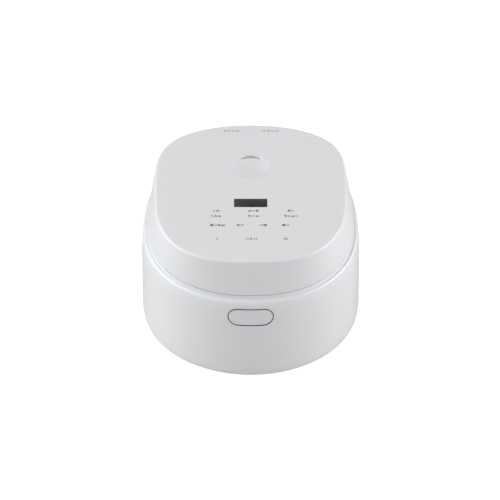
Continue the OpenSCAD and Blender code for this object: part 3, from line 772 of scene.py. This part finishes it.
def steam_cap():
    """Cap with a shallow dish, and a crescent slot at the dish's back edge that lets the steam out."""
    steps_r, steps_t = 44, 128
    top = CAP_HI.z
    verts, faces = [(CAP_CENTRE.x, CAP_CENTRE.y, top - dish_depth(0))], []
    for i in range(1, steps_r + 1):
        r = CAP_R * i / steps_r
        verts += raised(circle(r, steps_t, CAP_CENTRE), top - dish_depth(r))
    for k in range(steps_t):
        faces.append((0, 1 + k, 1 + (k + 1) % steps_t))
    for i in range(steps_r - 1):
        for k in range(steps_t):
            a, b = 1 + i * steps_t + k, 1 + i * steps_t + (k + 1) % steps_t
            faces.append((a, a + steps_t, b + steps_t, b))
    rim = 1 + (steps_r - 1) * steps_t
    base = len(verts)
    verts += raised(verts[rim:], CAP_LO.z)
    for k in range(steps_t):
        a, b = rim + k, rim + (k + 1) % steps_t
        faces.append((a, base + k, base + (k + 1) % steps_t, b))
    faces.append(tuple(base + k for k in reversed(range(steps_t))))
    cap = mesh_object("steam_cap_top", verts, faces)
    cut(cap, crescent("slot"))
    return finish_piece(cap, "steam_cap", "white_gloss", "steam_cap_upper", angle=8, even=True)


def crescent(name):
    """Cutter for the steam slot: thick in the middle and pointed at its ends."""
    half, steps = 12.2 * MM, 24
    outer_r, inner_r = 15.4 * MM, 21.0 * MM
    outer_top, inner_top = 22.3 * MM, 18.1 * MM
    upper, lower = [], []
    for k in range(steps + 1):
        x = mix(-half, half, k / steps)
        upper.append(Vector((x, outer_top - outer_r + math.sqrt(outer_r ** 2 - x ** 2))))
        lower.append(Vector((x, inner_top - inner_r + math.sqrt(inner_r ** 2 - x ** 2))))
    outline = [(p if p.y < q.y else q) for p, q in zip(lower, upper)] + list(reversed(upper))[1:-1]
    return prism(name, [p + CAP_CENTRE.xy for p in outline], CAP_LO.z + 2 * MM, CAP_HI.z + 3 * MM)


def wall_drop(x):
    """How far the casing's front wall has fallen back at x."""
    c = (abs(x) / HALF_W) ** (BODY_BENDS[0] / 2)
    return FRONT * (1 - math.sqrt(1 - c * c) ** (2 / BODY_BENDS[1]))


# The button's rounded edge from its back to its face, as (inset, distance behind the face) in mm
BUTTON_EDGE = [(0.0, 5.0), (0.0, 0.42), (0.05, 0.2), (0.16, 0.06), (0.34, 0.0)]


def release_button():
    """Oblong button whose face follows the casing's curve, just behind it."""
    face = CASING_LO.y + 0.45 * MM
    rings = [(inset * MM, back * MM) for inset, back in BUTTON_EDGE]
    rings += [(mix(rings[-1][0], BUTTON_H / 2, k / 8), 0.0) for k in range(1, 9)]
    loops = [
        [(p.x, face + back + wall_drop(p.x), BUTTON_Z + p.y)
         for p in stadium(BUTTON_W - 2 * inset, BUTTON_H - 2 * inset, 24, 16)]
        for inset, back in rings
    ]
    plate = loft("button_plate", loops)
    merged = bmesh.new()
    merged.from_mesh(plate.data)
    bmesh.ops.remove_doubles(merged, verts=merged.verts, dist=0.001 * MM)
    bmesh.ops.dissolve_degenerate(merged, edges=merged.edges, dist=0.001 * MM)
    bmesh.ops.recalc_face_normals(merged, faces=merged.faces)
    merged.to_mesh(plate.data)
    merged.free()
    return finish_piece(plate, "button", "white_gloss", "release_button", angle=40, even=True)


# Thickness of the black sleeve that paints shade into the button's gap, counted on both sides of the opening
GAP_SHADE_WIDTH = 0.5 * MM
GAP_SHADE_FRONT = 0.16 * MM
GAP_SHADE_BACK = 4.6 * MM


def painted_gap_shade():
    """Thin black sleeve lining the opening in the casing, just behind its outer surface: painted shade that
    darkens the gap round the button.
    """
    w, h = BUTTON_W + 2 * BUTTON_GAP, BUTTON_H + 2 * BUTTON_GAP
    outer = stadium(w - 0.04 * MM, h - 0.04 * MM, 24, 16)
    inner = stadium(w - GAP_SHADE_WIDTH, h - GAP_SHADE_WIDTH, 24, 16)
    edges = (outer, GAP_SHADE_FRONT), (outer, GAP_SHADE_BACK), (inner, GAP_SHADE_BACK), (inner, GAP_SHADE_FRONT)
    rings = [
        [(p.x, CASING_LO.y + back + wall_drop(p.x), BUTTON_Z + p.y) for p in outline]
        for outline, back in edges
    ]
    # The black plastic here is painted shade in the gap round the button; the cooker has no dark lining there
    return finish_piece(loft("painted_gap_shade", rings, wrapped=True), "body", "black_plastic", angle=40)


# ------------------------------------------------------------------ inner parts

POT_R = 99 * MM
POT_FLOOR = 3 * MM


def quarter_bend(r, z, bend, steps=10):
    """(radius, height) points from a level floor at z up to an upright wall at r."""
    turns = [math.radians(90) * k / steps for k in range(steps + 1)]
    return [(r - bend + bend * math.sin(t), z + bend - bend * math.cos(t)) for t in turns]


def pot_tick(z, half_turn):
    """Thin raised bar across the pot's back wall, at the height z."""
    steps, thick = 8, 0.7 * MM
    outer, inner = POT_R + 0.05 * MM, POT_R - 0.03 * MM
    turns = [mix(-half_turn, half_turn, i / steps) for i in range(steps + 1)]
    verts = []
    for level, r in ((z, outer), (z, inner), (z + thick, inner), (z + thick, outer)):
        verts += [(r * math.sin(t), MID_Y + r * math.cos(t), level) for t in turns]
    across = steps + 1
    faces = []
    for i in range(4):
        row, above = i * across, (i + 1) % 4 * across
        faces += [(row + j, row + j + 1, above + j + 1, above + j) for j in range(steps)]
    faces += [tuple(i * across for i in range(4)), tuple(i * across - 1 for i in (4, 3, 2, 1))]
    return mesh_object("tick", verts, faces)


def inner_pot():
    """Coated pot with a rolled rim, and level ticks on its back wall."""
    low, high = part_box("inner_pot")
    rim, top, out = high.x, high.z, POT_R + 2 * MM
    floor = low.z + POT_FLOOR
    rolled = [
        (out, top - 2.6 * MM), (out + 0.6 * MM, top - 2 * MM), (rim - 0.8 * MM, top - 2 * MM),
        (rim - 0.2 * MM, top - 1.6 * MM), (rim, top - 1 * MM), (rim - 0.2 * MM, top - 0.4 * MM),
        (rim - 0.8 * MM, top), (POT_R + 2.6 * MM, top), (POT_R + 1 * MM, top - 0.5 * MM),
        (POT_R + 0.2 * MM, top - 1.6 * MM), (POT_R, top - 3.2 * MM)
    ]
    profile = [(0, low.z)] + quarter_bend(out, low.z, 32 * MM) + rolled
    profile += list(reversed(quarter_bend(POT_R, floor, 30 * MM))) + [(0, floor)]
    pot = lathe("pot", profile, (0, MID_Y))
    finish_piece(pot, "body", "pot_coating", "inner_pot", angle=40)
    first, step, long, short = 22 * MM, 7 * MM, 5.0 * MM, 2.8 * MM
    ticks = [pot_tick(floor + first + step * k, (short if k % 2 else long) / POT_R) for k in range(9)]
    return finish_piece(join("pot_ticks", ticks), "body", "pot_coating", material=PALE_INK)


# Heights of the pressed sheet's upper face along its radius, in mm
INNER_LID_RIBS = [
    (0, 2.0), (40, 2.0), (44, 1.7), (47, 1.7), (51, 2.0), (60, 2.0), (66, 1.2), (76, 1.2), (79, 1.6),
    (83, 1.6), (86, 1.2), (95, 1.2)
]


def inner_lid():
    """Pressed sheet with a raised middle, two shallow ribs and an opening for the steam."""
    low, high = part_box("inner_lid")
    sheet = 1.2 * MM
    ribs = INNER_LID_RIBS + [(high.x / MM, 1.2)]
    top = [(p.x * MM, low.z + p.y * MM) for p in flow([(r, h, 0) for r, h in ribs])]
    under = [(r, z - sheet) for r, z in reversed(top)]
    plate = lathe("inner_lid_plate", top + under, (0, MID_Y))
    opening = prism("opening", circle(9 * MM, 48, CAP_CENTRE), low.z - 3 * MM, high.z + 3 * MM)
    cut(plate, opening)
    return finish_piece(plate, "lid", SLOT_OF["inner_lid"], "inner_lid", angle=30)


# Parts made as their CAD says, and how far their sharp edges are rounded, in mm
EASED = {
    "top_frame": 0.4, "base_plate": 0.4, "rubber_feet": 0.5, "coil_carrier": 0.3, "ferrite_bars": 0.3,
    "heat_sink": 0.2, "power_transistors": 0.3, "filter_capacitor": 0.6, "choke_coil": 1.0,
    "fan_housing": 0.4, "power_inlet": 0.4, "inlet_pins": 0.25, "hinge_mount": 0.4, "button_guide": 0.3,
    "latch_bracket": 0.2, "latch_lever": 0.4, "lid_catch": 0.3, "lid_frame": 0.3, "touch_pads": 0.4,
    "display_module": 0.4, "power_board": 0.2, "touch_board": 0.2, "steam_cap_lower": 0.3,
    "steam_packing": 0.6, "inner_lid_gasket": 0.4, "bottom_coil": 1.2, "side_coil": 1.2, "hinge_pin": 0.4,
    "latch_pin": 0.3, "temperature_sensor": 0.5, "lid_screws": 0.2, "base_screws": 0.2
}


def eased(node, width):
    """The CAD node's own shape with its sharp edges rounded."""
    part = link(node + "_eased", NODES[node].data.copy())
    flat = bmesh.new()
    flat.from_mesh(part.data)
    bmesh.ops.remove_doubles(flat, verts=flat.verts, dist=0.0005 * MM)
    bmesh.ops.dissolve_limit(flat, angle_limit=math.radians(0.4), verts=flat.verts, edges=flat.edges)
    flat.to_mesh(part.data)
    flat.free()
    ease_edges(part, width * MM, 2, 38)
    return finish_piece(part, NODES[node]["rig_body"], SLOT_OF[node], node, angle=32, even=True)


# Springs, drawn at rest: the joint that presses each, its axis, its moving end's travel and its fixed end
SPRINGS = {
    "button_springs": ("button_press", (0, 1, 0), 3.5 * MM, "high"),
    "latch_spring": ("latch_turn", (0, 1, 0), 2.4 * MM, "high"),
    "sensor_spring": ("sensor_press", (0, 0, 1), 2.0 * MM, "low")
}


def spring(node, joint, axis, travel, fixed):
    """The CAD node's own wire, copied as it is; it does not shorten as the joint moves."""
    wire = link(node + "_wire", NODES[node].data.copy())
    finish_piece(wire, NODES[node]["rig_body"], SLOT_OF[node], node, angle=30)
    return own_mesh(wire)


# ------------------------------------------------------------------ printed marks on the deck

def stroke(points, w):
    """Outlines of a bent line of width w: one rounded bar for each stretch."""
    bars = []
    for a, b in zip(points, points[1:]):
        a, b = Vector(a), Vector(b)
        length = (b - a).length
        turn = math.atan2(b.y - a.y, b.x - a.x)
        spin = Matrix.Rotation(turn, 2)
        bars.append([spin @ p + (a + b) / 2 for p in stadium(length + w, w, 5)])
    return bars


def arc(centre, r, start, end, steps=10):
    """Points on a circle from one angle to another, in degrees."""
    turns = [math.radians(mix(start, end, k / steps)) for k in range(steps + 1)]
    return [(centre[0] + r * math.cos(turn), centre[1] + r * math.sin(turn)) for turn in turns]


def icon(kind, size, w):
    """Generic sign in a box of the given size, as a list of outlines about its centre."""
    s = size / 2
    if kind == "bowl":
        return stroke(arc((0, s * 0.1), s * 0.9, 180, 360), w) + stroke([(-s, s * 0.1), (s, s * 0.1)], w)
    if kind == "steam":
        wisps = [[(x * s, -s * 0.8), (x * s + s * 0.2, 0), (x * s, s * 0.8)] for x in (-0.6, 0, 0.6)]
        return [outline for wisp in wisps for outline in stroke(wisp, w)]
    if kind == "clock":
        hands = [(0, s * 0.45), (0, 0), (s * 0.4, 0)]
        return stroke(arc((0, 0), s * 0.85, 0, 360, 16), w) + stroke(hands, w)
    if kind == "flame":
        tip = [(-s * 0.52, s * 0.05), (0, s * 0.95), (s * 0.52, s * 0.05)]
        return stroke(arc((0, -s * 0.25), s * 0.6, -210, 30), w) + stroke(tip, w)
    if kind == "power":
        return stroke(arc((0, 0), s * 0.8, -240, 60, 14), w) + stroke([(0, s * 0.2), (0, s)], w)
    if kind == "play":
        return stroke([(-s * 0.5, -s * 0.8), (s * 0.8, 0), (-s * 0.5, s * 0.8), (-s * 0.5, -s * 0.8)], w)
    if kind == "left":
        return stroke([(s * 0.4, s * 0.8), (-s * 0.5, 0), (s * 0.4, -s * 0.8)], w)
    if kind == "grid":
        side = s * 0.62
        return [bar_outline((x * s * 0.5, y * s * 0.5), side, side) for x in (-1, 1) for y in (-1, 1)]
    # A leaf
    vein = arc((s * 0.3, s * 0.5), s, 150, 260)
    return stroke(arc((-s * 0.1, 0), s * 0.8, -60, 120), w) + stroke(vein, w)


def drop(tree, x, y):
    """Height of the deck at a place."""
    return tree.ray_cast(Vector((x, y, 1.0)), Vector((0, 0, -1)))[0].z


def drape(piece, tree):
    """Lays a flat mark on the deck: its top just proud of it, its underside just in it."""
    mesh = piece.data
    middle = sum(v.co.z for v in mesh.vertices) / len(mesh.vertices)
    for v in mesh.vertices:
        lift = 0.02 * MM if v.co.z > middle else -0.04 * MM
        v.co.z = drop(tree, v.co.x, v.co.y) + lift


def marks(rows, name, material):
    """Prints rows of signs on the deck. A row is (middle x, y, pitch, size, stroke, kinds), in mm."""
    shell = bpy.data.objects["lid_shell"]
    tree = BVHTree.FromObject(shell, bpy.context.evaluated_depsgraph_get())
    pieces = []
    for x, y, pitch, size, w, kinds in rows:
        for k, kind in enumerate(kinds):
            centre = Vector((x + (k - (len(kinds) - 1) / 2) * pitch, y)) * MM
            height = drop(tree, centre.x, centre.y)
            for outline in icon(kind, size * MM, w * MM):
                points = [p + centre for p in outline]
                piece = prism("mark", points, height - 0.03 * MM, height + 0.025 * MM)
                drape(piece, tree)
                pieces.append(piece)
    return finish_piece(join(name, pieces), "lid", "white_gloss", material=material)


def panel_marks():
    """Dark signs of the touch panel, and paler ones along the deck's front and back."""
    marks([
        (-42.0, -46.6, 4.4, 3.6, 0.85, ["grid", "bowl"]),
        (3.2, -46.6, 4.4, 3.6, 0.85, ["bowl", "grid", "steam"]),
        (48.4, -46.6, 4.4, 3.6, 0.85, ["steam", "grid"]),
        (-42.2, -57.0, 4.4, 3.6, 0.85, ["grid", "flame", "bowl"]),
        (3.4, -57.0, 4.7, 3.6, 0.85, ["leaf", "grid", "bowl"]),
        (48.8, -57.0, 4.4, 3.6, 0.85, ["leaf", "grid", "bowl", "grid"]),
        (-40.2, -74.9, 4.6, 4.0, 0.95, ["steam", "grid", "flame", "bowl"]),
        (-12.6, -74.9, 4.8, 4.0, 0.95, ["flame", "grid"]),
        (15.0, -74.9, 4.8, 4.0, 0.95, ["grid", "clock"]),
        (42.0, -74.9, 4.8, 4.0, 0.95, ["steam", "grid"]),
    ], "panel_marks", INK)
    marks([
        (-40.5, -101.6, 5.0, 4.4, 0.8, ["left"]),
        (1.0, -101.6, 5.0, 4.6, 0.9, ["grid", "play", "grid"]),
        (42.0, -101.6, 5.0, 4.6, 0.9, ["power"]),
        (-23.5, 115.4, 5.2, 4.0, 0.5, ["steam", "leaf", "bowl", "clock"]),
        (24.5, 115.4, 5.4, 4.0, 0.5, ["flame", "clock", "bowl", "leaf"]),
    ], "pale_marks", FAINT_INK)


# ------------------------------------------------------------------ floor, light and camera

def math_node(nodes, links, operation, a, b):
    """A Math node on two inputs, each a number or another node's output."""
    node = nodes.new("ShaderNodeMath")
    node.operation = operation
    for socket, value in zip(node.inputs, (a, b)):
        if isinstance(value, (int, float)):
            socket.default_value = value
        else:
            links.new(value, socket)
    return node.outputs[0]


# Strengths of the light from each way. FOCUS narrows the side light, RISE changes it upwards, and a
# LEAN makes a light stronger towards -X, or towards +X where it is negative
SIDE_LIGHT = 4.85
SIDE_FOCUS = 3.8
SIDE_RISE = -0.35
SIDE_LEAN = -0.14
TOP_LIGHT = 0.14
TOP_LEAN = 20
FRONT_LIGHT = 0.6
BACK_LIGHT = 0.3


def surroundings():
    """White studio walls: bright softboxes to the sides, weaker ones above, in front and behind."""
    world = bpy.data.worlds.new("studio")
    world.use_nodes = True
    bpy.context.scene.world = world
    nodes, links = world.node_tree.nodes, world.node_tree.links
    parts = nodes.new("ShaderNodeSeparateXYZ")
    links.new(nodes.new("ShaderNodeTexCoord").outputs["Generated"], parts.inputs["Vector"])
    x, y, z = parts.outputs

    def calc(operation, a, b):
        return math_node(nodes, links, operation, a, b)

    def leaning(lean):
        """A factor that grows towards -X where lean is positive, and never goes below 0."""
        return calc("MAXIMUM", calc("ADD", calc("MULTIPLY", x, -lean), 1), 0)

    height = calc("MAXIMUM", z, 0)
    rise = calc("ADD", calc("MULTIPLY", z, SIDE_RISE), 1)
    sides = calc("MULTIPLY", calc("POWER", calc("ABSOLUTE", x, 0), SIDE_FOCUS), rise)
    sides = calc("MULTIPLY", sides, leaning(SIDE_LEAN))
    above = calc("MULTIPLY", calc("POWER", height, 2), leaning(TOP_LEAN))
    ahead = calc("MULTIPLY", calc("MAXIMUM", calc("MULTIPLY", y, -1), 0), height)
    behind = calc("POWER", calc("MAXIMUM", y, 0), 2)
    level = 0.0
    boxes = (sides, SIDE_LIGHT), (above, TOP_LIGHT), (ahead, FRONT_LIGHT), (behind, BACK_LIGHT)
    for part, strength in boxes:
        level = calc("ADD", calc("MULTIPLY", part, strength), level)
    background = nodes["Background"]
    background.inputs["Color"].default_value = (1, 1, 1, 1)
    links.new(level, background.inputs["Strength"])


# Half the floor's width, in metres
FLOOR_HALF = 6
FLOOR_GREY = 0.52
FLOOR_GLOW = 0.9


def studio():
    """The surroundings and the floor. Only the camera sees the floor's glow, so it lights nothing."""
    surroundings()
    corners = [(x * FLOOR_HALF, y * FLOOR_HALF, 0) for x, y in ((-1, -1), (1, -1), (1, 1), (-1, 1))]
    floor = mesh_object("floor", corners, [(0, 1, 2, 3)])
    material, nodes, links, shader = new_material("floor")
    shader.inputs["Base Color"].default_value = (FLOOR_GREY, FLOOR_GREY, FLOOR_GREY, 1)
    shader.inputs["Roughness"].default_value = 0.9
    shader.inputs["Specular IOR Level"].default_value = 0.1
    shader.inputs["Emission Color"].default_value = (1, 1, 1, 1)
    seen = nodes.new("ShaderNodeLightPath").outputs["Is Camera Ray"]
    links.new(math_node(nodes, links, "MULTIPLY", seen, FLOOR_GLOW), shader.inputs["Emission Strength"])
    floor.data.materials.append(material)


# Metres and degrees. VIEW_WIDTH is what the camera takes in at the point that it looks at
CAMERA_DISTANCE = 8.0
CAMERA_ELEVATION = 38.0
AIM = Vector((-0.0008, 0.0013, 0.070))
VIEW_WIDTH = 0.611
SENSOR = 36


def camera():
    """A long lens from in front, looking down on the object."""
    tilt = math.radians(CAMERA_ELEVATION)
    data = bpy.data.cameras.new("camera")
    data.sensor_width = SENSOR
    data.lens = SENSOR * CAMERA_DISTANCE / VIEW_WIDTH
    data.clip_end = 50
    eye = bpy.data.objects.new("camera", data)
    bpy.context.scene.collection.objects.link(eye)
    eye.location = AIM + CAMERA_DISTANCE * Vector((0, -math.cos(tilt), math.sin(tilt)))
    eye.rotation_euler = (AIM - eye.location).to_track_quat("-Z", "Y").to_euler()
    bpy.context.scene.camera = eye


def main():
    camera()
    studio()
    bpy.context.scene.view_settings.view_transform = "Standard"
    paint_cad_nodes()
    outer_casing()
    hinge_cover()
    lid_cover()
    display()
    steam_cap()
    release_button()
    # A black sleeve in the button's gap: painted shade
    painted_gap_shade()
    inner_pot()
    inner_lid()
    for node, width in EASED.items():
        eased(node, width)
    for node, motion in SPRINGS.items():
        spring(node, *motion)
    panel_marks()


main()
